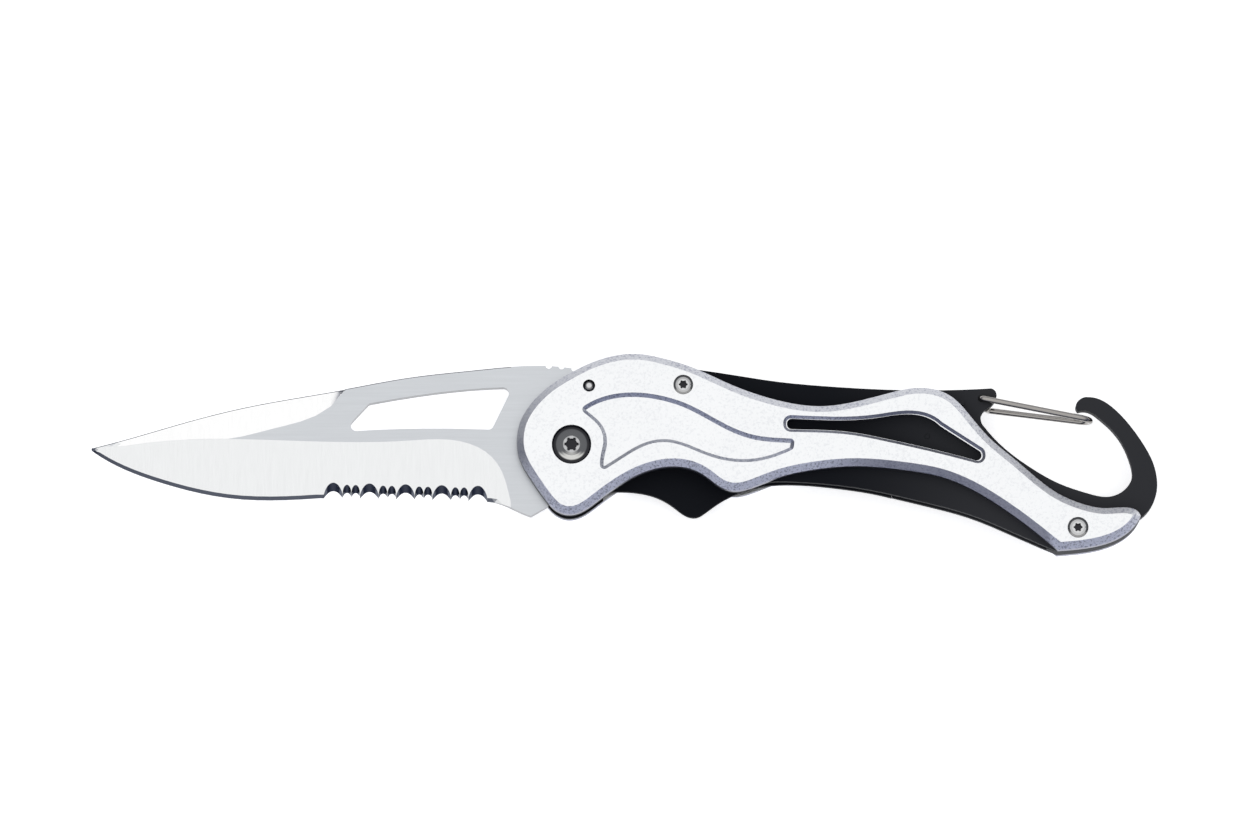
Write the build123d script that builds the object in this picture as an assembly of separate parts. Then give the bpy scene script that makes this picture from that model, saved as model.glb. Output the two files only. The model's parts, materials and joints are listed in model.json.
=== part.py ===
from build123d import *
import os
from math import asin, atan2, ceil, cos, degrees, hypot, radians, sin, tan

# Folding rigging knife, laid flat on its rear scale.  Millimetres.
# While the knife is being modelled the pivot axis is X = Y = 0 and the middle of the
# blade is Z = 0: the tip points to -X, the carabiner hook to +X, the spine to +Y and
# the front scale to +Z.  The whole set is moved to its resting place at export.

# ---- overall sizes ----
overall_length = 200.0      # blade tip to the outside of the hook
overall_width = 37.2        # crown of the scales to the corner of the tail

# ---- thicknesses of the stack ----
blade_thick = 2.4
washer_thick = 0.13
blade_play = 0.02           # between each washer and the blade
liner_thick = 1.2
scale_thick = 3.0

# ---- blade ----
edge_thick = 0.12           # what is left at the cutting edge
bevel_width = 0.7           # cutting bevel, measured up the face
bevel_thick = 0.75          # blade thickness at the top of the cutting bevel
swedge_thick = 1.3          # spine thickness along the swedge
spine_ease = 0.15           # eased corners of the spine
flat_strip = 0.04           # least width of the flat between the grind and the swedge
plunge_fade = 4.6           # length over which the grind runs out at the heel
window_corner = 1.1
serration_pitch = 6.77      # one large scallop and two small ones
serration_count = 5
large_scallop = 3.5         # width along the edge
small_scallop = 1.63
large_depth = 1.55          # how far a scallop reaches in from the edge
small_depth = 1.25
serration_start = 0.8       # from the start of the straight edge
scallop_slope = 34.0        # degrees between the grinding wheel's path and the blade
scallop_overlap = 0.05      # neighbouring cuts overlap by this at the edge
wheel_reach = 6.0
jimping_count = 3
jimping_pitch = 2.4
jimping_radius = 0.55
jimping_start = 4.0         # first groove ahead of the back of the spine
jimping_raise = 0.15        # centre of each groove above the spine

# ---- pivot, tang and stop ----
tang_radius = 10.4
barrel_radius = 2.4
barrel_bore = 1.45
pivot_thread = 1.4
pivot_head_radius = 3.65
washer_radius = 5.5
stop_pin_radius = 1.1
stop_pin_angle = 73.6       # degrees round from +X
stop_pin_depth = 1.8        # how far the pin enters the rear scale
pin_crown = 0.7             # rounding of its showing end
stop_gap = 0.08             # pin to tang, and pin to each shoulder at its limit
closed_angle = 172.5        # degrees that the blade folds through

# ---- lock ----
lock_seat_depth = 4.4       # flat on the tang, measured in from its rim
lock_tip_gap = 0.3
lock_slot = 0.4             # gap between the bar and the rear liner
root_gap = 0.05             # gap at the bend
lock_top = -2.0             # upper edge of the bar
lock_bottom = -8.0          # lower edge of the bar at its tip
tip_lean = 1.2              # run and rise of the bar's cut-off lower corner
tip_rise = 0.4
lock_root = 60.0            # where the bar bends
lock_lift = 1.0             # depth of the relief behind the bar
detent_proud = 0.1          # how far the ball stands out of the bar
detent_floor = 0.1          # metal left in the bar under the ball
detent_back = 2.0           # ball centre behind the lock face
detent_y = -4.6
detent_dent = 0.4           # depth of its seat in the tang
ball_slip = 0.02
lock_ledge = 1.7            # top of the flat on the tang below the axis

# ---- scales ----
scale_chamfer = 1.3
panel_depth = 0.9
panel_slope = 0.7           # how far its walls lean in, top to floor
slot_mouth = 0.6            # depth of the sloped mouth of the slot
slot_slope = 0.55
slot_corner = 0.9
corner_limit = 0.45         # most that a corner takes of the slot's width
corner_extra = 0.1          # corner radius of the panel over the lean of its walls

# ---- fasteners ----
head_thick = 1.3
dome_ratio = 0.2            # rise of a domed head over its radius
recess_share = 0.7          # part of the head that the driver recess takes
lobe_share = 0.22           # radius of each lobe of the recess over the recess's own
pivot_recess = 1.35
small_recess = 0.85
barrel_short = 0.2          # barrel end below the pivot head's seat
barrel_wall = 1.2           # metal left over the barrel's thread
flange_ease = 0.4
pivot_end = -2.0
thread_end = 0.8
pin_proud = 0.15
pivot_proud = 0.25          # how far the front heads stand out of the scale
head_sink = 0.1             # how far the rear heads sit below the rear face
neck_head_radius = 1.8
tail_head_radius = 1.9
standoff_radius = 1.6
standoff_bore = 0.85
standoff_step = 0.75        # how far a standoff enters each scale
screw_radius = 0.8
dowel_radius = 0.45
slip = 0.05                 # radial clearance of every pin, screw and sleeve

# ---- hook and gate ----
blade_gap_all_round = 0.5   # hook plate to the folding blade
wire_radius = 0.56
wire_gap = 0.12             # each leg to the face of the plate
gate_angle = 25.0           # degrees that the gate opens
foot_depth = 0.9            # how far each wire foot enters the plate
foot_clear = 0.05           # end of each foot to the bottom of its hole
foot_room = 0.1             # extra radius of the swinging foot's slot
swing_steps = 5
wire_bend = 1.4             # bend radius at each foot over the wire's own
end_loop = 0.98             # radius of the loop's corners over the legs' offset
plate_front_drop = 9.0      # front edge of the plate below its top corner

# ---- heights that follow from the stack ----
half_blade = blade_thick / 2
inner = half_blade + blade_play + washer_thick
liner_face = inner + liner_thick
scale_face = liner_face + scale_thick
seat = scale_face - head_thick + pivot_proud
rear_seat = -(scale_face - head_thick - head_sink)
step_face = liner_face + standoff_step
detent_radius = (liner_thick + detent_proud - detent_floor) / 2

# The outlines are drawn at their usual size and stretched to the overall sizes.
stretch_x = overall_length / 200.0
stretch_y = overall_width / 37.2


def place(points):
    return [(x * stretch_x, y * stretch_y) for x, y in points]


# ---- outline points ----
tip = (-90.4, -0.1)
spine = place([tip, (-82.0, 2.1), (-73.2, 4.7), (-61.0, 7.8), (-42.7, 11.1),
               (-30.6, 13.3), (-18.4, 14.7), (-8.2, 15.55), (-1.5, 15.3), (4.5, 14.0)])
belly = place([tip, (-85.4, -3.2), (-76.9, -6.5), (-69.9, -8.4), (-62.2, -9.6),
               (-55.3, -9.8), (-47.2, -9.4)])
heel = place([(-47.2, -9.4), (-15.9, -10.1)])
choil = place([(-15.9, -10.1), (-13.6, -10.45), (-11.8, -11.1), (-10.2, -11.85), (-7.6, -12.9)])
choil_back = place([(-7.6, -12.9), (0.0, -8.4)])
window_bottom = place([(-43.0, 3.0), (-26.6, 3.65), (-15.0, 3.4)])
window_top = place([(-11.1, 11.5), (-20.4, 11.0), (-28.6, 10.0), (-38.0, 8.4)])
grind_line = place([(-84.2, 0.3), (-63.8, 1.65), (-51.2, 1.3), (-30.6, 1.35), (-22.5, 1.5),
                    (-18.4, 0.5), (-15.2, -1.5), (-13.1, -4.4), (-11.9, -8.1), (-11.2, -10.9)])
swedge_line = place([(-84.2, 0.3), (-74.0, 1.1), (-63.8, 1.75), (-55.3, 3.8), (-48.8, 5.7), (-45.1, 7.9),
                     (-42.7, 10.9)])

handle_top = place([(-10.2, 1.2), (-9.5, 4.7), (-7.8, 7.6), (-4.8, 10.7), (-0.5, 13.55),
                    (3.8, 15.7), (8.1, 17.0), (12.0, 17.35), (16.7, 16.6), (22.3, 14.9),
                    (29.6, 11.6), (36.1, 9.2), (42.6, 7.7), (46.9, 7.4), (51.1, 7.85),
                    (59.1, 9.8), (65.5, 10.9), (70.7, 9.5), (75.0, 5.1), (78.4, 1.2),
                    (83.2, -2.9), (91.1, -9.2), (95.5, -11.1), (99.7, -11.9), (104.1, -11.8),
                    (105.6, -12.3), (106.4, -13.4)])
tail_under = place([(106.4, -13.4), (104.1, -16.3), (98.7, -18.8), (90.9, -19.8)])
scale_under = place([(90.9, -19.8), (84.7, -14.8), (80.4, -11.7), (69.3, -6.0), (62.5, -4.7),
                     (53.4, -3.95), (44.7, -4.7), (38.3, -6.2), (33.9, -7.9), (30.9, -8.6),
                     (27.9, -7.9), (25.3, -6.0), (22.3, -4.45), (18.4, -4.0), (14.6, -4.7),
                     (10.7, -6.4), (4.65, -10.6), (1.2, -12.75), (-0.9, -13.0), (-3.1, -12.1),
                     (-4.8, -10.3), (-7.4, -6.6), (-9.6, -2.7), (-10.2, 1.2)])
liner_under = place([(90.9, -19.8), (81.5, -15.7), (74.7, -12.9), (65.6, -10.4), (56.5, -8.3),
                     (50.4, -7.35), (40.3, -6.6), (36.1, -6.9), (33.9, -7.9)])
panel_upper = place([(1.6, 6.7), (5.95, 9.0), (11.1, 9.8), (16.7, 9.2), (21.0, 7.9), (25.3, 5.75),
                     (29.6, 3.4), (33.9, 1.8), (38.25, 1.2), (41.8, 1.05)])
panel_lower = place([(41.5, -0.9), (38.25, -2.3), (33.9, -3.3), (29.6, -3.2), (25.3, -2.1),
                     (21.0, -0.35), (17.6, 0.4), (14.1, -0.15), (10.7, -1.9), (8.1, -3.6),
                     (5.6, -5.1)])
panel_left = place([(5.6, -5.1), (5.5, -1.9), (5.95, 0.75), (5.1, 3.4), (3.4, 5.1), (1.6, 6.7)])
mouth_upper = place([(39.6, 5.55), (46.0, 5.3), (50.4, 5.2), (53.4, 5.3), (58.0, 5.8), (61.4, 6.3),
                     (65.3, 6.2), (69.3, 4.2)])
mouth_lower = place([(77.6, -4.1), (69.3, -1.9), (58.0, 0.7), (52.0, 1.8), (46.6, 2.2),
                     (39.6, 2.35)])
mouth_end = place([(69.3, 4.2), (77.3, -1.0)])
slot_upper = place([(40.3, 4.95), (46.0, 4.7), (50.4, 4.6), (53.4, 4.7), (58.0, 5.2), (61.4, 5.7),
                    (64.9, 5.6), (69.0, 3.5)])
slot_lower = place([(76.8, -3.3), (69.3, -1.3), (58.0, 1.3), (52.0, 2.4), (46.6, 2.8),
                    (40.3, 2.95)])
slot_end = place([(69.0, 3.5), (76.6, -1.4)])
bar_under = place([(12.2, -8.15), (16.5, -9.3), (19.4, -11.1), (21.5, -12.55),
                   (23.3, -12.85), (25.1, -11.9), (27.6, -10.1), (31.6, -8.1), (36.1, -6.9),
                   (40.3, -6.6), (50.4, -7.35), (56.5, -8.3)])
plate_top = place([(16.8, 15.6), (22.8, 14.9), (29.6, 13.9), (38.25, 12.55), (46.9, 11.7),
                   (62.3, 10.9), (73.9, 11.0), (78.7, 11.25)])
plate_step = place([(78.7, 11.25), (79.65, 10.3), (79.6, 9.4), (78.0, 7.5), (76.8, 6.3),
                    (76.7, 5.2), (77.3, 4.0)])
hook_inside = place([(77.3, 4.0), (80.8, 0.15), (86.0, -3.8), (91.3, -6.8), (96.6, -8.65),
                     (100.5, -9.3), (103.4, -8.1), (105.0, -5.4), (104.7, -3.0), (103.1, 0.9),
                     (100.8, 3.9), (98.9, 5.6), (97.4, 6.7), (94.9, 6.9)])
nose = place([(94.9, 6.9), (94.5, 7.9), (95.1, 9.0), (96.6, 9.6)])
hook_outside = place([(96.6, 9.6), (99.2, 9.1), (101.8, 7.3), (104.5, 4.4), (107.1, 0.7),
                      (108.9, -2.8), (109.6, -5.7), (109.6, -8.1), (108.15, -11.7),
                      (106.4, -13.4)])
neck_screw, tail_screw = place([(20.9, 11.3), (94.6, -15.7)])
dowels = place([(66.6, 1.95), (73.1, 8.3)])
gate_hinge, rear_foot, gate_end = place([(76.8, 9.3), (77.9, 7.6), (97.2, 5.2)])


# ---- helpers ----
def loop(*runs):
    """A face inside runs of points: two make a line, three an arc and more a smooth curve."""
    kinds = {2: Line, 3: ThreePointArc}
    edges = [kinds.get(len(run), Spline)(*run) for run in runs]
    return make_face(Curve() + edges)


def slab(face, low, high):
    return extrude(Pos(0, 0, low) * face, high - low)


def rod(radius, low, high, at=(0, 0)):
    return Pos(at[0], at[1], (low + high) / 2) * Cylinder(radius, high - low)


def turned(point, angle):
    a = radians(angle)
    return (point[0] * cos(a) - point[1] * sin(a), point[0] * sin(a) + point[1] * cos(a))


def height_on(points, x):
    """Height of a run of points at a station, on straight lines between them."""
    ordered = sorted(points)
    for (x0, y0), (x1, y1) in zip(ordered, ordered[1:]):
        if x0 <= x <= x1:
            return y0 + (y1 - y0) * (x - x0) / (x1 - x0)
    return ordered[0][1] if x < ordered[0][0] else ordered[-1][1]


def sampled(points):
    """Close points along the smooth curve of a run."""
    curve = Spline(*points)
    return [((curve @ (i / 120)).X, (curve @ (i / 120)).Y) for i in range(121)]


def star_recess(radius):
    """Six-lobed driver recess."""
    lobe = radius * lobe_share
    face = Circle(radius - lobe)
    for place_on_ring in PolarLocations(radius - lobe, 6):
        face += place_on_ring * Circle(lobe)
    return face


def screw(at, head_radius, thread, head_low, head_high, end, recess):
    """Button-head screw standing on head_low, its thread running to end."""
    up = 1 if head_high > head_low else -1
    head = rod(head_radius, min(head_low, head_high), max(head_low, head_high), at)
    rise = dome_ratio * head_radius
    dome = (head_radius ** 2 + rise ** 2) / (2 * rise)
    head &= Pos(at[0], at[1], head_high - up * dome) * Sphere(dome)
    shank = rod(thread, min(head_low, end), max(head_low, end), at)
    depth = abs(head_high - head_low) * recess_share
    drive = extrude(Pos(at[0], at[1], head_high - up * depth) * star_recess(recess), up * (depth + 1))
    return head + shank - drive


# ---- blade ----
ground_from, ground_to = -90.0 * stretch_x, -11.4 * stretch_x
ground_steps = 44
stations = [ground_from + (ground_to - ground_from) * (1 - cos(radians(180 * i / ground_steps))) / 2
            for i in range(ground_steps + 1)]
taper_end = -70.0 * stretch_x       # where the blade reaches its full thickness
plunge_start = -22.5 * stretch_x    # where the grind starts to turn down to the heel
tip_share = 0.42                    # thickness at the tip, as a share of the blade's
swedge_end = swedge_line[-1][0]
swedge_runout = 1.0                 # length over which the swedge ends at the spine
stations = sorted(stations + [swedge_end - spine_ease, swedge_end + swedge_runout])


def ground_blade():
    """The blade ahead of the tang: flats, swedge, primary grind and cutting bevel."""
    sections = []
    spine_run, grind_run = sampled(spine), sampled(grind_line)
    swedge_run = sampled(swedge_line)
    edge_run = sampled(belly) + heel[1:] + sampled(choil)[1:]
    for x in stations:
        top, low = height_on(spine_run, x), height_on(edge_run, x)
        tall = top - low
        grown = (x - ground_from) / (taper_end - ground_from)
        body = half_blade * min(1.0, tip_share + (1 - tip_share) * grown)
        shoulder = top - min(spine_ease, 0.1 * tall)
        ridge = height_on(grind_run, x)
        if x > plunge_start:
            ridge = max(ridge, low + flat_strip)
        else:
            ridge = min(max(ridge, low + 0.30 * tall), top - 0.12 * tall)
        sharp = min(1.0, (ground_to - x) / (plunge_fade * stretch_x))
        bevel_y = low + min(bevel_width, 0.45 * (ridge - low))
        bevel_half = body + (min(bevel_thick / 2, body * 0.7) - body) * sharp
        edge_half = body + (edge_thick / 2 - body) * sharp
        upper, crest = shoulder - flat_strip, body
        if x < swedge_end:
            upper = min(max(height_on(swedge_run, x), ridge + flat_strip), upper)
            crest = min(body, swedge_thick / 2)
        right = [(low, edge_half), (bevel_y, bevel_half), (ridge, body), (upper, body),
                 (shoulder, crest), (top, crest - (top - shoulder))]
        ring = [(x, y, z) for y, z in right] + [(x, y, -z) for y, z in reversed(right)]
        sections.append(Wire.make_polygon([Vector(*p) for p in ring], close=True))
    return Solid.make_loft(sections, ruled=True)


def scallop(x, width, depth):
    """One tilted grinding-wheel cut across the edge, ground from the front side only."""
    slope = radians(scallop_slope)
    rise = depth * stretch_y * tan(slope)
    wide = width * stretch_x
    radius = (wide * wide / 4 + rise * rise) / (2 * rise)
    flank = wide + scallop_overlap
    wheel = (Pos(0, -radius) * Circle(radius)) & (Pos(0, -radius) * Rectangle(wide, 2 * radius))
    wheel += Pos(0, -rise - wheel_reach / 2) * Rectangle(flank, wheel_reach)
    lowest = Plane(origin=(x, height_on(heel, x) + depth * stretch_y, -bevel_thick / 2),
                   x_dir=(1, 0, 0), z_dir=(0, cos(slope), sin(slope)))
    return lowest * extrude(wheel, wheel_reach, both=True)


def serrations():
    cuts = []
    start = heel[0][0] + serration_start * stretch_x
    for i in range(serration_count):
        left = start + i * serration_pitch * stretch_x
        cuts.append(scallop(left + large_scallop / 2 * stretch_x, large_scallop, large_depth))
        if i < serration_count - 1:
            for j in range(2):
                middle = left + (large_scallop + small_scallop * (j + 0.5)) * stretch_x
                cuts.append(scallop(middle, small_scallop, small_depth))
    return cuts


pin_orbit = tang_radius + stop_gap + stop_pin_radius
pin_at = turned((pin_orbit, 0), stop_pin_angle)
shoulder_angle = degrees(asin((stop_pin_radius + stop_gap) / pin_orbit))
lock_face = tang_radius - lock_seat_depth
ball_at = (lock_face + detent_back, detent_y)


def pin_track():
    """The room round the tang that the stop pin travels through, as seen from the blade."""
    first = stop_pin_angle - closed_angle - shoulder_angle
    last = stop_pin_angle + shoulder_angle
    far = overall_width
    steps = 8
    fan = [turned((far, 0), first + (last - first) * i / steps) for i in range(steps + 1)]
    return make_face(Polyline((0, 0), *fan, close=True)) - Circle(tang_radius)


def make_blade():
    outline = loop(spine, [spine[-1], choil_back[-1]], choil_back[::-1], choil[::-1],
                   heel[::-1], belly[::-1])
    outline = outline + Circle(tang_radius) - pin_track()
    seat_at = Pos(lock_face + tang_radius / 2, -tang_radius / 2 - lock_ledge)
    outline -= seat_at * Rectangle(tang_radius, tang_radius)
    body = slab(outline, -half_blade, half_blade)
    front_box = Pos(ground_to - overall_length / 2, 0, 0) * Box(overall_length, 4 * overall_width, 20)
    ahead = (body & front_box) & ground_blade()
    body = (body - front_box) + ahead
    hole = loop(window_bottom, [window_bottom[-1], window_top[0]], window_top,
                [window_top[-1], window_bottom[0]])
    hole = fillet(hole.vertices(), window_corner)
    body -= slab(hole, -half_blade - 1, half_blade + 1)
    for cut in serrations():
        body -= cut
    for i in range(jimping_count):
        x = spine[-1][0] - jimping_start - i * jimping_pitch
        body -= rod(jimping_radius, -half_blade - 1, half_blade + 1, (x, height_on(spine, x) + jimping_raise))
    body -= rod(barrel_radius + slip, -half_blade - 1, half_blade + 1)
    dent = turned(ball_at, -closed_angle)
    body -= rod(detent_radius, -half_blade - 1, -half_blade + detent_dent, dent)
    return body


# ---- handle ----
def fastener_holes(side, head_seat):
    """Everything that passes through the scale on one side, +1 front or -1 rear."""
    out = scale_face + 2

    def hole(radius, start, end, at=(0, 0)):
        return rod(radius, min(side * start, side * end), max(side * start, side * end), at)

    cuts = [hole(barrel_radius + slip, liner_face - 1, out),
            hole(pivot_head_radius + slip, head_seat, out)]
    for at, head in ((neck_screw, neck_head_radius), (tail_screw, tail_head_radius)):
        cuts.append(hole(standoff_radius + slip, liner_face - 1, step_face, at))
        cuts.append(hole(screw_radius + slip, liner_face, out, at))
        cuts.append(hole(head + slip, head_seat, out, at))
    return cuts


def scale_blank(side, head_seat):
    """A chamfered scale with its screw holes, on one side of the stack."""
    low, high = sorted((side * liner_face, side * scale_face))
    blank = slab(loop(handle_top, tail_under, scale_under), low, high)
    outer = blank.faces().sort_by(Axis.Z)[-1 if side > 0 else 0]
    blank = chamfer(outer.outer_wire().edges(), scale_chamfer)
    for cut in fastener_holes(side, head_seat):
        blank -= cut
    return blank


def sloped_cut(face, depth, slope):
    """A cutter from the face of the scale down, drawn in all round its floor by slope."""
    cutter = slab(face, scale_face - depth, scale_face + 1)
    floor = cutter.faces().sort_by(Axis.Z)[0]
    return chamfer(floor.outer_wire().edges(), slope)


def slot_loop(upper, end, lower, corner):
    """The long slot or its mouth: two curved sides, a slanting end and rounded corners."""
    face = loop(upper, end, [end[-1], lower[0]], lower, [lower[-1], upper[0]])
    open_width = upper[0][1] - lower[-1][1]
    return fillet(face.vertices(), min(corner, corner_limit * open_width))


def make_front_scale():
    body = scale_blank(1, seat)
    panel = loop(panel_upper, [panel_upper[-1], panel_lower[0]], panel_lower, panel_left)
    body -= sloped_cut(fillet(panel.vertices(), panel_slope + corner_extra), panel_depth, panel_slope)
    mouth = slot_loop(mouth_upper, mouth_end, mouth_lower, slot_corner + slot_slope)
    body -= sloped_cut(mouth, slot_mouth, slot_slope)
    slot = slot_loop(slot_upper, slot_end, slot_lower, slot_corner)
    body -= slab(slot, liner_face - 1, scale_face + 1)
    return body - rod(stop_pin_radius + slip, liner_face - 1, scale_face + 1, pin_at)


def lock_outline(room=0.0):
    """The sprung bar with its release tab, or the room for it with a gap all round."""
    tip_x = lock_face + lock_tip_gap - room
    top = lock_top * stretch_y + room
    root = lock_root * stretch_x + (root_gap if room else 0.0)
    under = [(tip_x + tip_lean + room, lock_bottom * stretch_y - room)]
    under += [(x, y - room) for x, y in bar_under]
    under.append((root, height_on(liner_under, root) - room))
    corner = (tip_x, under[0][1] + tip_rise)
    return loop([(tip_x, top), corner], [corner, under[0]], under,
                [under[-1], (root, top)], [(root, top), (tip_x, top)])


def make_rear_scale():
    body = scale_blank(-1, -rear_seat)
    body -= rod(stop_pin_radius + slip, -liner_face - stop_pin_depth, -liner_face + 1, pin_at)
    return body - slab(lock_outline(lock_slot), -liner_face - lock_lift, -liner_face + 1)


def liner_blank(low, high):
    ahead_of_lock = scale_under[scale_under.index(liner_under[-1]):]
    face = loop(handle_top, tail_under, liner_under, ahead_of_lock)
    plate = slab(face, low, high)
    plate -= rod(barrel_radius + slip, low - 1, high + 1)
    plate -= rod(stop_pin_radius + slip, low - 1, high + 1, pin_at)
    for at in (neck_screw, tail_screw):
        plate -= rod(standoff_radius + slip, low - 1, high + 1, at)
    for at in dowels:
        plate -= rod(dowel_radius + slip, low - 1, high + 1, at)
    return plate


def make_rear_liner():
    plate = liner_blank(-liner_face, -inner)
    room = lock_outline(lock_slot)
    left, right = lock_face + lock_tip_gap - lock_slot, lock_root * stretch_x + root_gap
    top = lock_top * stretch_y
    below = Pos((left + right) / 2, top - overall_width / 2) * Rectangle(right - left, overall_width)
    return plate - slab(room + below, -liner_face - 1, -inner + 1)


def make_lock_bar():
    bar = slab(lock_outline(), -liner_face, -inner)
    centre = -inner + detent_proud - detent_radius
    bar -= rod(detent_radius + ball_slip, centre - detent_radius, -inner + 1, ball_at)
    return bar


def make_detent_ball():
    centre = -inner + detent_proud - detent_radius
    return Pos(ball_at[0], ball_at[1], centre) * Sphere(detent_radius)


def closed_blade_room():
    """Where the folding blade passes, with its clearance, as a face."""
    lead = [turned(p, closed_angle) for p in choil[::-1] + heel[-2::-1] + belly[-2::-1]]
    reach = hypot(*spine[0])
    end = lead[-1]
    far = overall_length
    room = make_face(Polyline(*lead, (end[0] + far, end[1] - 0.2 * far), (end[0], -far),
                              (-far, -far), close=True))
    room = offset(room, blade_gap_all_round)
    room &= Circle(reach + blade_gap_all_round)
    sweep = hypot(*choil[-1])
    return room, Circle(sweep + blade_gap_all_round)


def make_hook_plate():
    bottom = [tail_under[-1], (plate_top[0][0], plate_top[0][1] - plate_front_drop * stretch_y)]
    face = loop(plate_top, plate_step, hook_inside, nose, hook_outside, tail_under, bottom,
                [bottom[-1], plate_top[0]])
    room, ring = closed_blade_room()
    face = face - room - ring
    face = max(face.faces(), key=lambda f: f.area)
    plate = slab(face, -inner, inner)
    for at in (neck_screw, tail_screw):
        plate -= rod(standoff_radius + slip, -inner - 1, inner + 1, at)
    for at in dowels:
        plate -= rod(dowel_radius + slip, -inner - 1, inner + 1, at)
    hole = wire_radius + slip
    plate -= rod(hole, inner - foot_depth - wire_gap, inner + 1, gate_hinge)
    arm = (rear_foot[0] - gate_hinge[0], rear_foot[1] - gate_hinge[1])
    for i in range(swing_steps + 1):
        swung = turned(arm, -gate_angle * i / swing_steps)
        at = (gate_hinge[0] + swung[0], gate_hinge[1] + swung[1])
        plate -= rod(hole + foot_room, -inner - 1, -inner + foot_depth + wire_gap, at)
    return plate


def make_gate_wire():
    """One bent wire: a foot in each face of the plate, two legs and a loop under the nose."""
    leg = inner + wire_gap + wire_radius
    foot = foot_depth + wire_gap + wire_radius
    run = (gate_end[0] - gate_hinge[0], gate_end[1] - gate_hinge[1])
    length = hypot(*run)
    ahead = (run[0] / length, run[1] / length)
    turn = leg * end_loop
    front_stop = (gate_end[0] - ahead[0] * turn, gate_end[1] - ahead[1] * turn)
    path = FilletPolyline((gate_hinge[0], gate_hinge[1], leg - foot + foot_clear),
                          (gate_hinge[0], gate_hinge[1], leg),
                          (gate_end[0], gate_end[1], leg),
                          (gate_end[0], gate_end[1], -leg),
                          (rear_foot[0], rear_foot[1], -leg),
                          (rear_foot[0], rear_foot[1], -leg + foot - foot_clear),
                          radius=[wire_radius * wire_bend, turn, turn, wire_radius * wire_bend])
    start = Plane(origin=path @ 0, z_dir=path % 0)
    return sweep(start * Circle(wire_radius), path=path, transition=Transition.RIGHT)


# ---- pins, sleeves and screws ----
def make_pivot_barrel():
    body = rod(barrel_radius, rear_seat, seat - barrel_short)
    flange = rod(pivot_head_radius, rear_seat - head_thick, rear_seat)
    rim = flange.edges().filter_by(GeomType.CIRCLE).sort_by(Axis.Z)[0]
    flange = fillet(rim, flange_ease)
    return body + flange - rod(barrel_bore, rear_seat + barrel_wall, seat + 1)


def make_standoff(at):
    body = rod(standoff_radius, -step_face, step_face, at)
    return body - rod(standoff_bore, -step_face - 1, step_face + 1, at)


def make_washer(low, high):
    return rod(washer_radius, low, high) - rod(barrel_radius + slip, low - 1, high + 1)


def make_stop_pin():
    pin = rod(stop_pin_radius, -liner_face - stop_pin_depth, scale_face + pin_proud, pin_at)
    return fillet(pin.edges().filter_by(GeomType.CIRCLE).sort_by(Axis.Z)[-1], pin_crown)


front_head = scale_face + pivot_proud
rear_head = rear_seat - head_thick

nodes = {
    "blade": make_blade(),
    "front_scale": make_front_scale(),
    "rear_scale": make_rear_scale(),
    "front_liner": liner_blank(inner, liner_face),
    "rear_liner": make_rear_liner(),
    "lock_bar": make_lock_bar(),
    "detent_ball": make_detent_ball(),
    "hook_plate": make_hook_plate(),
    "gate_wire": make_gate_wire(),
    "pivot_barrel": make_pivot_barrel(),
    "pivot_screw": screw((0, 0), pivot_head_radius, pivot_thread, seat, front_head, pivot_end,
                         pivot_recess),
    "front_washer": make_washer(inner - washer_thick, inner),
    "rear_washer": make_washer(-inner, -inner + washer_thick),
    "stop_pin": make_stop_pin(),
    "neck_standoff": make_standoff(neck_screw),
    "tail_standoff": make_standoff(tail_screw),
    "front_neck_screw": screw(neck_screw, neck_head_radius, screw_radius, seat, front_head,
                              thread_end, small_recess),
    "front_tail_screw": screw(tail_screw, tail_head_radius, screw_radius, seat, front_head,
                              thread_end, small_recess),
    "rear_neck_screw": screw(neck_screw, neck_head_radius, screw_radius, rear_seat, rear_head,
                             -thread_end, small_recess),
    "rear_tail_screw": screw(tail_screw, tail_head_radius, screw_radius, rear_seat, rear_head,
                             -thread_end, small_recess),
    "spacer_dowels": [rod(dowel_radius, -liner_face, liner_face, at) for at in dowels],
}

# ---- export: the middle of the outline goes to X = Y = 0 and the rear face to Z = 0 ----
pieces = {name: Compound(children=list(shape)) if isinstance(shape, list) else shape
          for name, shape in nodes.items()}
boxes = [shape.bounding_box() for shape in pieces.values()]
low = [min(getattr(b.min, a) for b in boxes) for a in "XYZ"]
high = [max(getattr(b.max, a) for b in boxes) for a in "XYZ"]
shift = (-(low[0] + high[0]) / 2, -(low[1] + high[1]) / 2, -low[2])
os.makedirs("parts", exist_ok=True)
for name, shape in pieces.items():
    export_step(Pos(*shift) * shape, f"parts/{name}.step")
print("pivot axis", [round(v, 4) for v in shift])
print("gate axis", [round(v + s, 4) for v, s in zip(gate_hinge, shift)])
print("lock root", round(lock_root * stretch_x + shift[0], 4))
print("size", [round(b - a, 3) for a, b in zip(low, high)])
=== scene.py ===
"""Looks and stage of a folding rigging knife, laid out as a Blender add-on."""

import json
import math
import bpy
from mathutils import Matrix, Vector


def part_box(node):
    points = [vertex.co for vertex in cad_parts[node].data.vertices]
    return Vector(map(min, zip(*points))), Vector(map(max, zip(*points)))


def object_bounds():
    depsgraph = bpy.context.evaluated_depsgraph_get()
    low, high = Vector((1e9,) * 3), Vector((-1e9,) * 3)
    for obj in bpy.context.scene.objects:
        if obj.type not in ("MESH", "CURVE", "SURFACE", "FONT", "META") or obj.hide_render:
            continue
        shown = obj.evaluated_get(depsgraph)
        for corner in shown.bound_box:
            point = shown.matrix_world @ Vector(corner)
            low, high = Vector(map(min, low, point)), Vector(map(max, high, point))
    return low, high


bl_info = {
    "name": "Rigging Knife Finishes",
    "version": (1, 0, 0),
    "blender": (4, 5, 0),
    "location": "View3D > Sidebar > Knife",
    "description": "Gives a folding rigging knife its metals, coatings and studio stage",
    "category": "Object",
}

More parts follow.
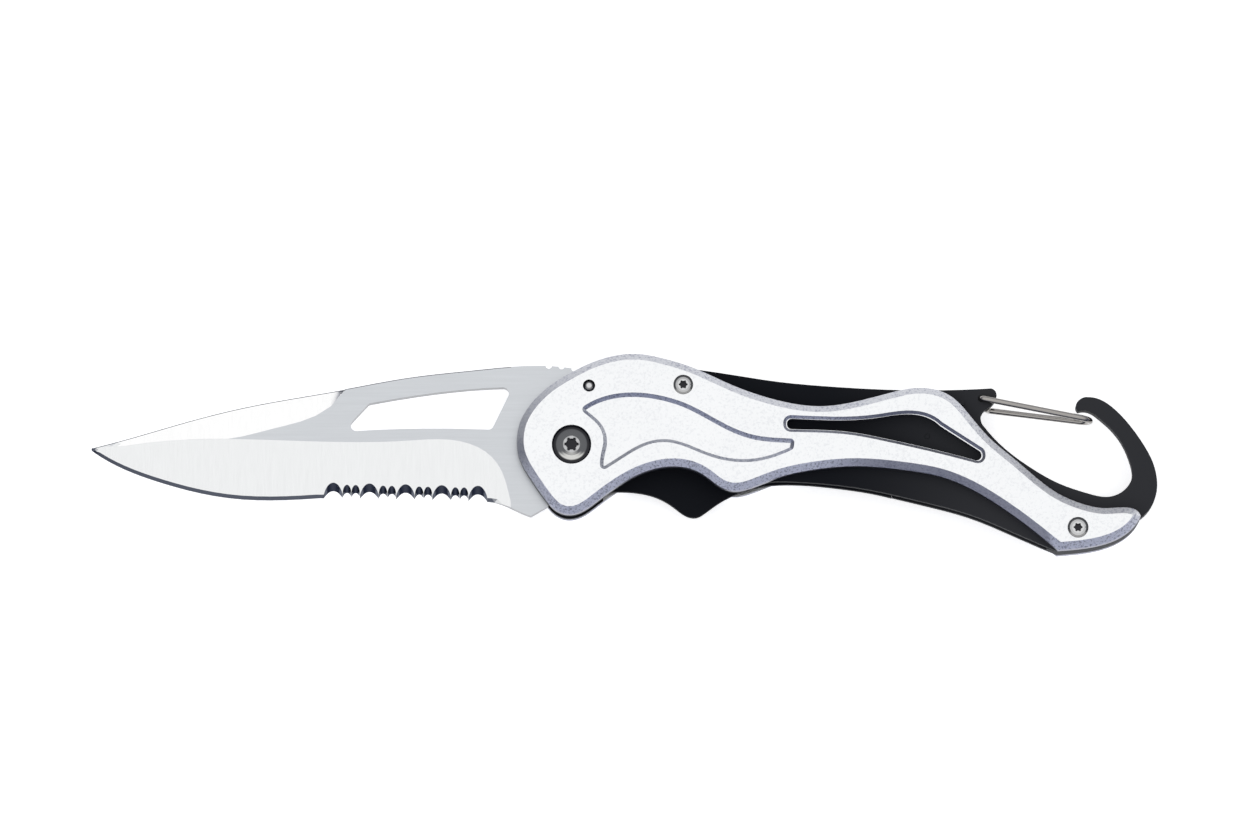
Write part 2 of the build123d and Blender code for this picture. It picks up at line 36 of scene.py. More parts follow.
import bpy
from mathutils import Vector

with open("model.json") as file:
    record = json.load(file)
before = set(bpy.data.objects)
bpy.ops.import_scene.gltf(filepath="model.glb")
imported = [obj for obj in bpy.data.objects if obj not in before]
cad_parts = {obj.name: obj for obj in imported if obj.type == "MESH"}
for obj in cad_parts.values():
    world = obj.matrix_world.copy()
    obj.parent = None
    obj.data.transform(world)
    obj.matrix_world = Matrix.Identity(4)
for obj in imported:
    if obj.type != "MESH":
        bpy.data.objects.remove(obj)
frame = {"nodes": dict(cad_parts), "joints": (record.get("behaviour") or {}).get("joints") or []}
CAD_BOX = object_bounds()
NODES = frame["nodes"]
PIVOT = Vector(next(j["pos_m"] for j in frame["joints"] if j["name"] == "blade_fold"))
MM = 0.001

# Places along the knife, in its own frame. The first pair is where a painted sheen lightens the
# coating towards the hook; the second is where the lower chamfer's painted shade runs darker.
HOOK_SHEEN_FROM, HOOK_SHEEN_TO = PIVOT.x + 45 * MM, PIVOT.x + 85 * MM       # the coating lightens between these
DIM_FROM, DIM_TO = PIVOT.x + 58 * MM, PIVOT.x + 90.5 * MM       # the lower chamfer is darker here
DIM_LEAD_IN, DIM_LEAD_OUT = 12 * MM, 2 * MM                     # how gently that starts and ends

# Edges that turn by more than this are rounded.
SHARP = math.radians(35)

# Each pair is where a band of lean starts and where it is full. Up is 1 on a level face. Most bands
# pick where painted shade and painted highlights go.
LEVEL = (0.9992, 0.9997)            # the blade's flats
SWEDGE = (0.03, 0.06)               # leaning to the spine
CUTTING_BEVEL = (0.2, 0.32)         # leaning to the edge
CUT_WALL = (0.6, 0.4)               # the blade's steep faces
SPINE_WALL = (0.4, 0.55)
NOT_TO_TIP = (0.86, 0.80)           # walls that face the tip stay bright
CHAMFER = (0.98, 0.9)
CHAMFER_SIDE = (0.2, 0.55)          # towards the spine, the edge or the tip
STEEP_WALL = (0.5, 0.3)             # steep faces of the scales and heads
HEAD_SLOPE = (0.93, 0.955)
HEAD_GLINT = (0.13, 0.25)           # leaning to the edge
CROWN_UP, SMALL_CROWN_UP = 0.982, 0.958
CROWN_FADE = 0.011                  # from the slope's colour to the crown's

# Painted light on each kind of head: crown (painted highlight), slope, rim (painted shade) and a
# low painted glint.
PIVOT_HEAD = ((0.55, 0.555, 0.56), (0.11, 0.113, 0.12), (0.035, 0.036, 0.04), (0.62, 0.62, 0.60))
SMALL_HEAD = ((0.62, 0.625, 0.63), (0.16, 0.163, 0.17), (0.05, 0.052, 0.056), (0.30, 0.30, 0.30))
PIN_HEAD = ((0.62, 0.62, 0.63), (0.12, 0.12, 0.125), (0.05, 0.05, 0.055), (0.2, 0.2, 0.2))
# Painted shade in the screw recesses and on the heads' steep walls.
RECESS_SHADE = (0.03, 0.03, 0.034)
RECESS_DEPTH = 0.45 * MM            # from the top of the pivot head
RECESS_FADE = 0.1 * MM
FRONT_ONLY = 0.5 * MM               # the dark recess fades in over this above mid height

# Finishes, painted shade and painted sheen without a setting of their own.
# Painted sheen: colour of the coating's flecks where the sheen by the hook is full.
HOOK_SHEEN_FLECK = (0.06, 0.061, 0.066)
# Flecks of the blast, with painted shade where they lie on the chamfers.
SHADED_CHAMFER_FLECK = (0.30, 0.31, 0.38)
FLECK_SHARE = (0.3, 0.75)           # strength of the flecks on level faces and on chamfers
BLAST_THRESHOLD, COAT_THRESHOLD = 0.50, 0.66
GRAIN_CONTRAST = (0.35, 0.65)
COAT_IOR = 1.25
COAT_FLECK_SCALE = 4200.0
TURNED_SCALE = 2600.0
DRAWN_SCALE = 1200.0

# Stretch of a grain: a small number runs it along that axis.
LENGTHWAYS = (0.03, 1.0, 1.0)
CROSSWAYS = (1.0, 0.04, 1.0)
ALONG_WIRE = (0.05, 1.0, 1.0)
TURNED = (1.0, 1.0, 0.2)

# Strength and distance of each bump.
SATIN_BUMP = (0.12, 0.02 * MM)
BLAST_BUMP = (0.35, 0.03 * MM)
COAT_BUMP = (0.25, 0.02 * MM)
METAL_BUMP = (0.1, 0.01 * MM)
HEAD_BUMP = (0.08, 0.01 * MM)

# The stage.
TABLE_REACH = 12.0
TABLE_DROP = 0.1 * MM
TABLE_COLOUR = (0.9, 0.9, 0.9, 1)
TABLE_ROUGHNESS = 0.9
TABLE_GLOW = 0.6
EDGE_SIDE_SKY = (0.10, 0.12, 0.20)
SPINE_SIDE_SKY = (0.40, 0.41, 0.45)
OVERHEAD_SKY = (1.0, 1.0, 1.0)
SKY_SIDES = (-0.5, 0.6)             # from the edge's side to the spine's
SKY_RISE = (0.3, 0.86)              # from the sides to overhead
SKY_FOOT = (0.0, 0.22, 0.45, 1.0)   # the lowest part of the sides is dimmer
SENSOR_WIDTH = 36
NEAREST, FARTHEST = 0.01, 40


# ---------------------------------------------------------------- settings

class KnifeBladeSettings(bpy.types.PropertyGroup):
    flat_colour: bpy.props.FloatVectorProperty(
        name="Flats", description="Satin flats of the blade", subtype="COLOR", size=3,
        min=0, max=1, default=(0.60, 0.62, 0.645))
    ground_colour: bpy.props.FloatVectorProperty(
        name="Ground faces", description="Primary grind of the blade", subtype="COLOR", size=3,
        min=0, max=1, default=(0.80, 0.81, 0.815))
    # The swedge's polish, with a painted highlight.
    swedge_highlight_colour: bpy.props.FloatVectorProperty(
        name="Swedge", description="Polished swedge along the spine", subtype="COLOR", size=3,
        min=0, max=1, default=(0.93, 0.93, 0.93))
    # Painted shade on the blade's steep walls.
    wall_shade_colour: bpy.props.FloatVectorProperty(
        name="Cut walls", description="Walls of the window and the spine", subtype="COLOR", size=3,
        min=0, max=1, default=(0.05, 0.055, 0.07))
    # Painted dark reflection on the cutting bevel and serrations.
    edge_shade_colour: bpy.props.FloatVectorProperty(
        name="Cutting bevel", description="Bevel and serrations", subtype="COLOR", size=3,
        min=0, max=1, default=(0.10, 0.11, 0.14))
    flat_roughness: bpy.props.FloatProperty(
        name="Flat roughness", description="Satin of the flats", min=0, max=1, default=0.34)
    ground_roughness: bpy.props.FloatProperty(
        name="Ground roughness", description="Polish of the grind", min=0, max=1, default=0.2)
    grain_scale: bpy.props.FloatProperty(
        name="Grain scale", description="Fineness of the belt grain", min=1, max=20000,
        default=2600)


class KnifeHandleSettings(bpy.types.PropertyGroup):
    alloy_colour: bpy.props.FloatVectorProperty(
        name="Alloy", description="Blasted alloy of the scales", subtype="COLOR", size=3,
        min=0, max=1, default=(0.90, 0.91, 0.92))
    fleck_colour: bpy.props.FloatVectorProperty(
        name="Fleck", description="Darker flecks of the blasted alloy", subtype="COLOR", size=3,
        min=0, max=1, default=(0.62, 0.64, 0.68))
    alloy_roughness: bpy.props.FloatProperty(
        name="Alloy roughness", description="Blasting of the scales", min=0, max=1, default=0.36)
    fleck_scale: bpy.props.FloatProperty(
        name="Fleck scale", description="Fineness of the flecks", min=1, max=20000, default=2300)
    coat_colour: bpy.props.FloatVectorProperty(
        name="Coating", description="Black satin coating of the plates", subtype="COLOR", size=3,
        min=0, max=1, default=(0.008, 0.009, 0.012))
    # Painted sheen: the coating made lighter towards the hook.
    hook_sheen_colour: bpy.props.FloatVectorProperty(
        name="Hook coating", description="Coating where handling has lightened the hook",
        subtype="COLOR", size=3, min=0, max=1, default=(0.036, 0.037, 0.041))
    coat_roughness: bpy.props.FloatProperty(
        name="Coating roughness", description="Satin of the coating", min=0, max=1, default=0.5)
    coat_level: bpy.props.FloatProperty(
        name="Coating reflection", description="Strength of its reflection", min=0, max=1,
        default=0.10)
    scale_rounding: bpy.props.FloatProperty(
        name="Scale rounding", description="Rounding of the scales' sharp edges", min=0,
        default=0.08 * MM, precision=5, unit="LENGTH")
    hook_rounding: bpy.props.FloatProperty(
        name="Hook rounding", description="Rounding of the hook plate's sharp edges", min=0,
        default=0.1 * MM, precision=5, unit="LENGTH")
    # Painted shade on the scales, by which way a face leans: the lower chamfer (blue grey, darker
    # by the hook), the upper and front chamfers, and the steep walls below them.
    shadow_colour: bpy.props.FloatVectorProperty(
        name="Lower chamfer", description="Chamfers that lean to the edge's side",
        subtype="COLOR", size=3, min=0, max=1, default=(0.80, 0.82, 0.93))
    dim_colour: bpy.props.FloatVectorProperty(
        name="Lower chamfer by the hook", description="Where the lower chamfer runs darker",
        subtype="COLOR", size=3, min=0, max=1, default=(0.46, 0.47, 0.54))
    upper_chamfer_shade: bpy.props.FloatVectorProperty(
        name="Upper chamfer", description="Chamfers that lean to the spine's side",
        subtype="COLOR", size=3, min=0, max=1, default=(0.60, 0.61, 0.64))
    front_chamfer_shade: bpy.props.FloatVectorProperty(
        name="Front chamfer", description="Chamfers that lean to the blade",
        subtype="COLOR", size=3, min=0, max=1, default=(0.42, 0.43, 0.46))
    wall_shade_colour: bpy.props.FloatVectorProperty(
        name="Scale walls", description="Side walls below the chamfers",
        subtype="COLOR", size=3, min=0, max=1, default=(0.24, 0.25, 0.31))


class KnifeFittingSettings(bpy.types.PropertyGroup):
    wire_colour: bpy.props.FloatVectorProperty(
        name="Gate wire", description="Polished wire of the gate", subtype="COLOR", size=3,
        min=0, max=1, default=(0.36, 0.345, 0.33))
    wire_roughness: bpy.props.FloatProperty(
        name="Wire roughness", description="Polish of the wire", min=0, max=1, default=0.12)
    washer_colour: bpy.props.FloatVectorProperty(
        name="Washers", description="Bronze of the washers", subtype="COLOR", size=3,
        min=0, max=1, default=(0.72, 0.50, 0.27))
    washer_roughness: bpy.props.FloatProperty(
        name="Washer roughness", description="Finish of the washers", min=0, max=1, default=0.3)
    head_roughness: bpy.props.FloatProperty(
        name="Head roughness", description="Polish of the screw heads and pins", min=0, max=1,
        default=0.2)


class KnifeStageSettings(bpy.types.PropertyGroup):
    distance: bpy.props.FloatProperty(
        name="Camera distance", description="From the lens to the handle", min=0.1, max=5,
        default=1.954, unit="LENGTH")
    elevation: bpy.props.FloatProperty(
        name="Camera elevation", description="Height of the view above the table", min=0,
        max=math.pi / 2, default=math.radians(81), subtype="ANGLE")
    lens: bpy.props.FloatProperty(
        name="Lens", description="Focal length in millimetres", min=20, max=400, default=300)
    aim_x: bpy.props.FloatProperty(
        name="Aim along", description="From the pivot towards the hook", default=10.0 * MM,
        precision=4, unit="LENGTH")
    aim_y: bpy.props.FloatProperty(
        name="Aim across", description="From the pivot towards the spine", default=5.93 * MM,
        precision=4, unit="LENGTH")
    sky: bpy.props.FloatProperty(
        name="Softbox", description="Brightness of the light overhead", min=0, max=10, default=1.08)


# ---------------------------------------------------------------- node building

class Nodes:
    """Short calls for building one node tree."""

    def __init__(self, tree):
        self.tree = tree

    def add(self, kind, **values):
        node = self.tree.nodes.new(kind)
        for name, value in values.items():
            setattr(node, name, value)
        return node

    def feed(self, socket, value):
        """Link an output, or set a plain value."""
        if isinstance(value, bpy.types.NodeSocket):
            self.tree.links.new(value, socket)
        elif socket.type == "RGBA" and len(value) == 3:
            socket.default_value = (*value, 1.0)
        else:
            socket.default_value = value

    def math(self, operation, a, b=0.0, clamp=False):
        node = self.add("ShaderNodeMath", operation=operation, use_clamp=clamp)
        self.feed(node.inputs[0], a)
        self.feed(node.inputs[1], b)
        return node.outputs[0]

    def band(self, value, low, high, out_low=0.0, out_high=1.0):
        """A smooth step from out_low to out_high as value goes from low to high."""
        node = self.add("ShaderNodeMapRange", interpolation_type="SMOOTHSTEP")
        for name, item in (("Value", value), ("From Min", low), ("From Max", high),
                           ("To Min", out_low), ("To Max", out_high)):
            self.feed(node.inputs[name], item)
        return node.outputs["Result"]

    def mix(self, factor, a, b, blend="MIX"):
        node = self.add("ShaderNodeMix", data_type="RGBA", blend_type=blend)
        self.feed(node.inputs["Factor"], factor)
        self.feed(node.inputs["A"], a)
        self.feed(node.inputs["B"], b)
        return node.outputs["Result"]

    def shaded(self, colour, level):
        """A colour made lighter or darker by a level."""
        grey = self.add("ShaderNodeCombineColor")
        for channel in grey.inputs:
            self.feed(channel, level)
        return self.mix(1.0, colour, grey.outputs[0], "MULTIPLY")

    def split(self, vector):
        """The X, Y and Z outputs of a vector."""
        node = self.add("ShaderNodeSeparateXYZ")
        self.feed(node.inputs[0], vector)
        return node.outputs

    def noise(self, vector, scale, detail=2.0, roughness=0.5):
        node = self.add("ShaderNodeTexNoise")
        self.feed(node.inputs["Vector"], vector)
        self.feed(node.inputs["Scale"], scale)
        node.inputs["Detail"].default_value = detail
        node.inputs["Roughness"].default_value = roughness
        return node.outputs["Fac"]

    def bump(self, height, strength, distance):
        node = self.add("ShaderNodeBump")
        self.feed(node.inputs["Height"], height)
        node.inputs["Strength"].default_value = strength
        node.inputs["Distance"].default_value = distance
        return node.outputs["Normal"]

    def place(self):
        return self.add("ShaderNodeTexCoord").outputs["Object"]

    def group(self, name, **values):
        node = self.add("ShaderNodeGroup", node_tree=shared_group(name))
        for key, value in values.items():
            self.feed(node.inputs[key.replace("_", " ")], value)
        return node.outputs


def new_group(name, inputs, outputs):
    tree = bpy.data.node_groups.new(name, "ShaderNodeTree")
    for label, kind, default in inputs:
        socket = tree.interface.new_socket(label, in_out="INPUT", socket_type=kind)
        if default is not None:
            socket.default_value = default
    for label, kind in outputs:
        tree.interface.new_socket(label, in_out="OUTPUT", socket_type=kind)
    made = Nodes(tree)
    return made, made.add("NodeGroupInput").outputs, made.add("NodeGroupOutput").inputs


def build_lean():
    """Which way a face leans, in the knife's own frame: up, to the spine, the edge or the tip."""
    made, _, out = new_group("Lean", [], [("Up", "NodeSocketFloat"), ("Spine", "NodeSocketFloat"),
                                          ("Edge", "NodeSocketFloat"), ("Tip", "NodeSocketFloat")])
    turn = made.add("ShaderNodeVectorTransform", vector_type="NORMAL", convert_from="WORLD",
                    convert_to="OBJECT")
    made.feed(turn.inputs[0], made.add("ShaderNodeNewGeometry").outputs["True Normal"])
    lean = made.split(turn.outputs[0])
    made.feed(out["Up"], made.math("ABSOLUTE", lean["Z"]))
    made.feed(out["Spine"], lean["Y"])
    made.feed(out["Edge"], made.math("MULTIPLY", lean["Y"], -1.0))
    made.feed(out["Tip"], made.math("MULTIPLY", lean["X"], -1.0))


def build_grain():
    """Long belt marks along one direction of the knife."""
    made, given, out = new_group(
        "Belt grain",
        [("Scale", "NodeSocketFloat", 1000.0), ("Stretch", "NodeSocketVector", (1, 1, 1)),
         ("Depth", "NodeSocketFloat", 0.5)],
        [("Value", "NodeSocketFloat"), ("Shade", "NodeSocketFloat")])
    stretched = made.add("ShaderNodeVectorMath", operation="MULTIPLY")
    made.feed(stretched.inputs[0], made.place())
    made.feed(stretched.inputs[1], given["Stretch"])
    fine = made.noise(stretched.outputs[0], given["Scale"], 4.0, 0.65)
    made.feed(out["Value"], fine)
    half = made.math("MULTIPLY", made.math("SUBTRACT", fine, 0.5), given["Depth"])
    made.feed(out["Shade"], made.math("ADD", half, 1.0))


def build_flecks():
    """Fine flecks of a blasted or powder-coated face."""
    made, given, out = new_group(
        "Blast flecks",
        [("Scale", "NodeSocketFloat", 3000.0), ("Threshold", "NodeSocketFloat", 0.6)],
        [("Mask", "NodeSocketFloat"), ("Height", "NodeSocketFloat")])
    drift_scale, drift_share, softness = 0.07, 0.15, 0.12
    spot = made.place()
    fine = made.noise(spot, given["Scale"], 3.0, 0.7)
    drift = made.noise(spot, made.math("MULTIPLY", given["Scale"], drift_scale))
    patches = made.math("MULTIPLY", made.math("SUBTRACT", drift, 0.5), drift_share)
    lifted = made.math("ADD", fine, patches)
    made.feed(out["Mask"], made.band(lifted, given["Threshold"],
                                     made.math("ADD", given["Threshold"], softness)))
    made.feed(out["Height"], fine)


def build_handling():
    """Faint smudges that handling leaves, as a change of roughness."""
    made, given, out = new_group(
        "Handling marks",
        [("Roughness", "NodeSocketFloat", 0.4), ("Amount", "NodeSocketFloat", 0.08)],
        [("Roughness", "NodeSocketFloat")])
    smudge_scale = 90.0
    broad = made.noise(made.place(), smudge_scale, 3.0, 0.6)
    change = made.math("MULTIPLY", made.math("SUBTRACT", broad, 0.5), given["Amount"])
    made.feed(out["Roughness"], made.math("ADD", given["Roughness"], change, clamp=True))


GROUP_BUILDERS = {"Lean": build_lean, "Belt grain": build_grain, "Blast flecks": build_flecks,
                  "Handling marks": build_handling}


def shared_group(name):
    if name not in bpy.data.node_groups:
        GROUP_BUILDERS[name]()
    return bpy.data.node_groups[name]


def new_material(name):
    """A material with a bare Principled shader, and the builder for its tree."""
    material = bpy.data.materials.new(name)
    material.use_nodes = True
    made = Nodes(material.node_tree)
    shader = next(n for n in material.node_tree.nodes if n.type == "BSDF_PRINCIPLED")
    return material, made, shader.inputs


def dress(names, material, edge=0.0):
    """Give CAD nodes a material and, where asked, a slight rounding of their sharp edges."""
    for name in names:
        piece = NODES[name]
        piece.data.materials.clear()
        piece.data.materials.append(material)
        if edge:
            soft = piece.modifiers.new("Softened edges", "BEVEL")
            soft.width = edge
            soft.segments = 2
            soft.limit_method = "ANGLE"
            soft.angle_limit = SHARP
            soft.harden_normals = True


# ---------------------------------------------------------------- materials

def blade_steel(look):
    material, made, shader = new_material("Blade steel")
    lean = made.group("Lean")
    flat = made.band(lean["Up"], *LEVEL)
    walls = made.math("MULTIPLY", made.band(lean["Up"], *CUT_WALL),
                      made.band(lean["Tip"], *NOT_TO_TIP))
    colour = made.mix(flat, look.ground_colour, look.flat_colour)
    # Painted light by lean: a highlight on the swedge and shade on the cutting bevel and the walls.
    # Walls that face the tip stay bright.
    for part_of_face, tint in (
            (made.band(lean["Spine"], *SWEDGE), look.swedge_highlight_colour),
            (made.band(lean["Edge"], *CUTTING_BEVEL), look.edge_shade_colour),
            (made.math("MAXIMUM", walls, made.band(lean["Spine"], *SPINE_WALL)), look.wall_shade_colour)):
        colour = made.mix(part_of_face, colour, tint)
    along = made.group("Belt grain", Scale=look.grain_scale, Stretch=LENGTHWAYS, Depth=0.16)
    across = made.group("Belt grain", Scale=look.grain_scale, Stretch=CROSSWAYS, Depth=0.10)
    level = made.math("ADD", made.math("MULTIPLY", along["Shade"], flat),
                      made.math("MULTIPLY", across["Shade"], made.math("SUBTRACT", 1.0, flat)))
    made.feed(shader["Base Color"], made.shaded(colour, level))
    rough = made.band(flat, 0.0, 1.0, look.ground_roughness, look.flat_roughness)
    marks = made.group("Handling marks", Roughness=rough, Amount=0.1)
    made.feed(shader["Roughness"], marks["Roughness"])
    made.feed(shader["Normal"], made.bump(along["Value"], *SATIN_BUMP))
    shader["Metallic"].default_value = 1.0
    return material


def blasted_alloy(look):
    material, made, shader = new_material("Blasted alloy")
    flecks = made.group("Blast flecks", Scale=look.fleck_scale, Threshold=BLAST_THRESHOLD)
    lean = made.group("Lean")
    slanted = made.band(lean["Up"], *CHAMFER)
    along = made.split(made.place())["X"]
    dim = made.math("MULTIPLY", made.band(along, DIM_FROM - DIM_LEAD_IN, DIM_FROM),
                    made.band(along, DIM_TO, DIM_TO - DIM_LEAD_OUT))
    colour = look.alloy_colour
    # Painted shade: chamfers leaning to the spine, the tip or the edge get their own darker
    # colours.
    for side, tint in (("Spine", look.upper_chamfer_shade), ("Tip", look.front_chamfer_shade),
                       ("Edge", made.mix(dim, look.shadow_colour, look.dim_colour))):
        leaning = made.math("MULTIPLY", slanted, made.band(lean[side], *CHAMFER_SIDE))
        colour = made.mix(leaning, colour, tint)
    # The flecks are the blast's own; on the chamfers they also carry painted shade.
    speckled = made.mix(slanted, look.fleck_colour, SHADED_CHAMFER_FLECK)
    amount = made.math("MULTIPLY", flecks["Mask"], made.band(slanted, 0.0, 1.0, *FLECK_SHARE))
    colour = made.mix(amount, colour, speckled)
    # Painted shade on the steep walls.
    wall = made.band(lean["Up"], *STEEP_WALL)
    made.feed(shader["Base Color"], made.mix(wall, colour, look.wall_shade_colour))
    rough = made.group("Handling marks", Roughness=look.alloy_roughness, Amount=0.1)
    made.feed(shader["Roughness"], rough["Roughness"])
    made.feed(shader["Normal"], made.bump(flecks["Height"], *BLAST_BUMP))
    shader["Metallic"].default_value = 1.0
    return material


def satin_coating(look):
    material, made, shader = new_material("Black satin coating")
    flecks = made.group("Blast flecks", Scale=COAT_FLECK_SCALE, Threshold=COAT_THRESHOLD)
    # Painted sheen: towards the hook the coating and its flecks are made lighter.
    sheen_by_hook = made.band(made.split(made.place())["X"], HOOK_SHEEN_FROM, HOOK_SHEEN_TO)
    base = made.mix(sheen_by_hook, look.coat_colour, look.hook_sheen_colour)
    sheen_flecks = made.mix(sheen_by_hook, look.hook_sheen_colour, HOOK_SHEEN_FLECK)
    made.feed(shader["Base Color"], made.mix(flecks["Mask"], base, sheen_flecks))
    shader["Specular IOR Level"].default_value = look.coat_level
    shader["IOR"].default_value = COAT_IOR
    rough = made.group("Handling marks", Roughness=look.coat_roughness, Amount=0.14)
    made.feed(shader["Roughness"], rough["Roughness"])
    made.feed(shader["Normal"], made.bump(flecks["Height"], *COAT_BUMP))
    return material


def plain_metal(name, colour, roughness, scale, stretch, depth):
    """Turned, drawn or polished metal with its own fine grain."""
    material, made, shader = new_material(name)
    grain = made.group("Belt grain", Scale=scale, Stretch=stretch, Depth=depth)
    dark = tuple(c * (1.0 - depth) for c in colour)
    light = made.band(grain["Value"], *GRAIN_CONTRAST)
    made.feed(shader["Base Color"], made.mix(light, dark, colour))
    rough = made.group("Handling marks", Roughness=roughness, Amount=0.08)
    made.feed(shader["Roughness"], rough["Roughness"])
    made.feed(shader["Normal"], made.bump(grain["Value"], *METAL_BUMP))
    shader["Metallic"].default_value = 1.0
    return material


def domed_head(name, look, painted_head_light, recess_z, crown_up=CROWN_UP):
    """Polished head with painted light: dark rim, dim slope with a low painted glint, bright crown
    as a painted highlight, and painted shade below recess_z.

    The painted shade below recess_z is only on the front half. At mid height it comes to nothing.
    """
    crown, slope, rim, glint = painted_head_light
    material, made, shader = new_material(name)
    lean = made.group("Lean")
    # Painted light by lean: dark rim, dim slope, low glint and bright crown.
    colour = made.mix(made.band(lean["Up"], *HEAD_SLOPE), rim, slope)
    colour = made.mix(made.band(lean["Edge"], *HEAD_GLINT), colour, glint)
    colour = made.mix(made.band(lean["Up"], crown_up, crown_up + CROWN_FADE), colour, crown)
    height = made.split(made.place())["Z"]
    # Painted shade in the recess and on steep walls.
    deep = made.math("MULTIPLY", made.band(height, recess_z + RECESS_FADE, recess_z),
                     made.band(height, PIVOT.z, PIVOT.z + FRONT_ONLY))
    dark = made.math("MAXIMUM", deep, made.band(lean["Up"], *STEEP_WALL))
    made.feed(shader["Base Color"], made.mix(dark, colour, RECESS_SHADE))
    grain = made.group("Belt grain", Scale=TURNED_SCALE, Stretch=TURNED, Depth=0.1)
    made.feed(shader["Normal"], made.bump(grain["Value"], *HEAD_BUMP))
    marks = made.group("Handling marks", Roughness=look.head_roughness, Amount=0.1)
    made.feed(shader["Roughness"], marks["Roughness"])
    shader["Metallic"].default_value = 1.0
    return material


# ---------------------------------------------------------------- operators

class KNIFE_OT_blade(bpy.types.Operator):
    """Give the blade its ground, satin and sharpened faces"""
    bl_idname = "knife.blade"
    bl_label = "Blade"

    def execute(self, context):
        dress(["blade"], blade_steel(context.scene.knife_blade))
        return {"FINISHED"}


class KNIFE_OT_scales(bpy.types.Operator):
    """Give both scales their blasted alloy"""
    bl_idname = "knife.scales"
    bl_label = "Scales"

    def execute(self, context):
        handle = context.scene.knife_handle
        dress(["front_scale", "rear_scale"], blasted_alloy(handle), handle.scale_rounding)
        return {"FINISHED"}


class KNIFE_OT_plates(bpy.types.Operator):
    """Coat the liners, lock bar and hook plate"""
    bl_idname = "knife.plates"
    bl_label = "Black plates"

    def execute(self, context):
        handle = context.scene.knife_handle
        dress(["front_liner", "rear_liner", "lock_bar"], satin_coating(handle))
        dress(["hook_plate"], satin_coating(handle), handle.hook_rounding)
        return {"FINISHED"}


class KNIFE_OT_gate(bpy.types.Operator):
    """Polish the wire gate"""
    bl_idname = "knife.gate"
    bl_label = "Gate wire"

    def execute(self, context):
        look = context.scene.knife_fittings
        dress(["gate_wire"], plain_metal("Polished wire", look.wire_colour, look.wire_roughness,
                                         scale=DRAWN_SCALE, stretch=ALONG_WIRE, depth=0.1))
        return {"FINISHED"}


class KNIFE_OT_screws(bpy.types.Operator):
    """Finish the pivot and the body screws"""
    bl_idname = "knife.screws"
    bl_label = "Screws and pivot"

    def execute(self, context):
        recess_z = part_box("pivot_screw")[1].z - RECESS_DEPTH
        look = context.scene.knife_fittings
        steel = domed_head("Blackened screw steel", look, PIVOT_HEAD, recess_z)
        small = domed_head("Small screw steel", look, SMALL_HEAD, recess_z, SMALL_CROWN_UP)
        dress(["pivot_screw", "pivot_barrel"], steel)
        dress(["front_neck_screw", "front_tail_screw", "rear_neck_screw", "rear_tail_screw"], small)
        return {"FINISHED"}


class KNIFE_OT_pins(bpy.types.Operator):
    """Finish the stop pin, standoffs, dowels, detent ball and washers"""
    bl_idname = "knife.pins"
    bl_label = "Pins and washers"

    def execute(self, context):
        look = context.scene.knife_fittings
        dress(["stop_pin", "neck_standoff", "tail_standoff", "detent_ball"],
              domed_head("Turned pin steel", look, PIN_HEAD, PIVOT.z))
        dress(["spacer_dowels"], satin_coating(context.scene.knife_handle))
        dress(["front_washer", "rear_washer"],
              plain_metal("Washer bronze", look.washer_colour, look.washer_roughness,
                          scale=TURNED_SCALE, stretch=TURNED, depth=0.2))
        return {"FINISHED"}


class KNIFE_OT_stage(bpy.types.Operator):
    """Set the table, the sky and the camera"""
    bl_idname = "knife.stage"
    bl_label = "Stage"

    def execute(self, context):
        stage = context.scene.knife_stage
        build_floor()
        build_sky(context.scene, stage.sky)
        build_camera(context.scene, stage)
        context.scene.view_settings.view_transform = "Standard"
        return {"FINISHED"}


def build_floor():
    turns = ((-1, -1), (1, -1), (1, 1), (-1, 1))
    corners = [(x * TABLE_REACH, y * TABLE_REACH, 0) for x, y in turns]
    mesh = bpy.data.meshes.new("table")
    mesh.from_pydata(corners, [], [(0, 1, 2, 3)])
    table = bpy.data.objects.new("table", mesh)
    bpy.context.collection.objects.link(table)
    table.location.z = CAD_BOX[0].z - TABLE_DROP
    material, _, shader = new_material("Table")
    shader["Base Color"].default_value = TABLE_COLOUR
    shader["Roughness"].default_value = TABLE_ROUGHNESS
    shader["Emission Color"].default_value = (1, 1, 1, 1)
    shader["Emission Strength"].default_value = TABLE_GLOW
    mesh.materials.append(material)


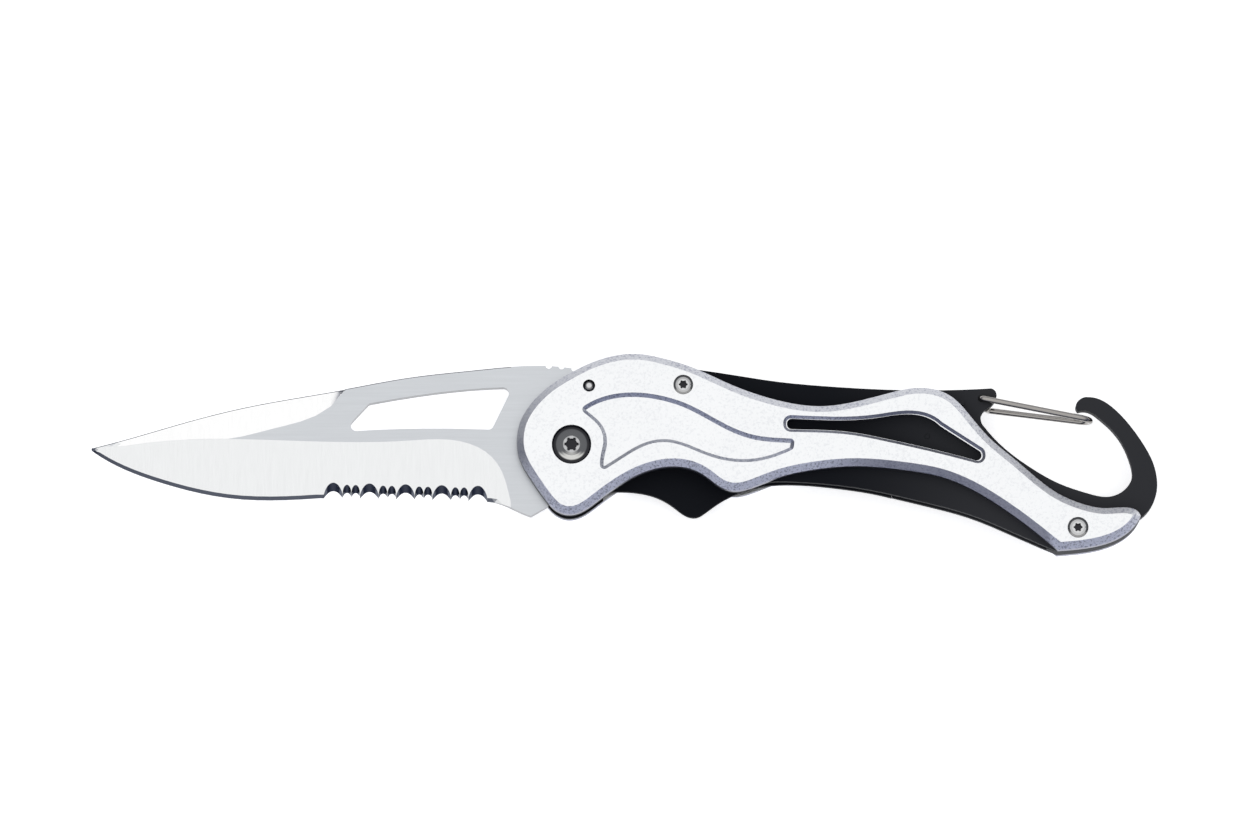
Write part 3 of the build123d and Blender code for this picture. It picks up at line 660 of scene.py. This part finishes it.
def build_sky(scene, strength):
    """White overhead, mid grey behind the spine, dark blue grey on the edge's side, dimmer low."""
    world = bpy.data.worlds.new("Studio")
    world.use_nodes = True
    scene.world = world
    made = Nodes(world.node_tree)
    background = next(n for n in world.node_tree.nodes if n.type == "BACKGROUND")
    ray = made.split(made.add("ShaderNodeTexCoord").outputs["Generated"])
    side = made.band(ray["Y"], *SKY_SIDES)
    high = made.band(ray["Z"], *SKY_RISE)
    low = made.band(ray["Z"], *SKY_FOOT)
    around = made.shaded(made.mix(side, EDGE_SIDE_SKY, SPINE_SIDE_SKY), low)
    made.feed(background.inputs["Color"], made.mix(high, around, OVERHEAD_SKY))
    background.inputs["Strength"].default_value = strength


def build_camera(scene, stage):
    data = bpy.data.cameras.new("View")
    data.lens = stage.lens
    data.sensor_width = SENSOR_WIDTH
    camera = bpy.data.objects.new("View", data)
    scene.collection.objects.link(camera)
    target = PIVOT + Vector((stage.aim_x, stage.aim_y, 0))
    back = Vector((0, -math.cos(stage.elevation), math.sin(stage.elevation)))
    camera.location = target + back * stage.distance
    camera.rotation_euler = (math.pi / 2 - stage.elevation, 0, 0)
    data.clip_start, data.clip_end = NEAREST, FARTHEST
    scene.camera = camera


class KNIFE_PT_panel(bpy.types.Panel):
    """Lists the knife's pieces and settings"""
    bl_idname = "KNIFE_PT_panel"
    bl_label = "Rigging Knife"
    bl_space_type = "VIEW_3D"
    bl_region_type = "UI"
    bl_category = "Knife"

    def draw(self, context):
        for operator in OPERATORS:
            self.layout.operator(operator.bl_idname)
        for name in SETTINGS:
            group = getattr(context.scene, name)
            for prop in group.bl_rna.properties:
                if prop.identifier not in ("rna_type", "name"):
                    self.layout.prop(group, prop.identifier)


SETTINGS = {"knife_blade": KnifeBladeSettings, "knife_handle": KnifeHandleSettings,
            "knife_fittings": KnifeFittingSettings, "knife_stage": KnifeStageSettings}
OPERATORS = (KNIFE_OT_blade, KNIFE_OT_scales, KNIFE_OT_plates, KNIFE_OT_gate, KNIFE_OT_screws,
             KNIFE_OT_pins, KNIFE_OT_stage)


def register():
    for cls in (*SETTINGS.values(), *OPERATORS, KNIFE_PT_panel):
        bpy.utils.register_class(cls)
    for name, cls in SETTINGS.items():
        setattr(bpy.types.Scene, name, bpy.props.PointerProperty(type=cls))


def unregister():
    for name in SETTINGS:
        delattr(bpy.types.Scene, name)
    for cls in reversed((*SETTINGS.values(), *OPERATORS, KNIFE_PT_panel)):
        bpy.utils.unregister_class(cls)


def main():
    register()
    for operator in OPERATORS:
        family, name = operator.bl_idname.split(".")
        getattr(getattr(bpy.ops, family), name)()


if __name__ == "__main__":
    main()
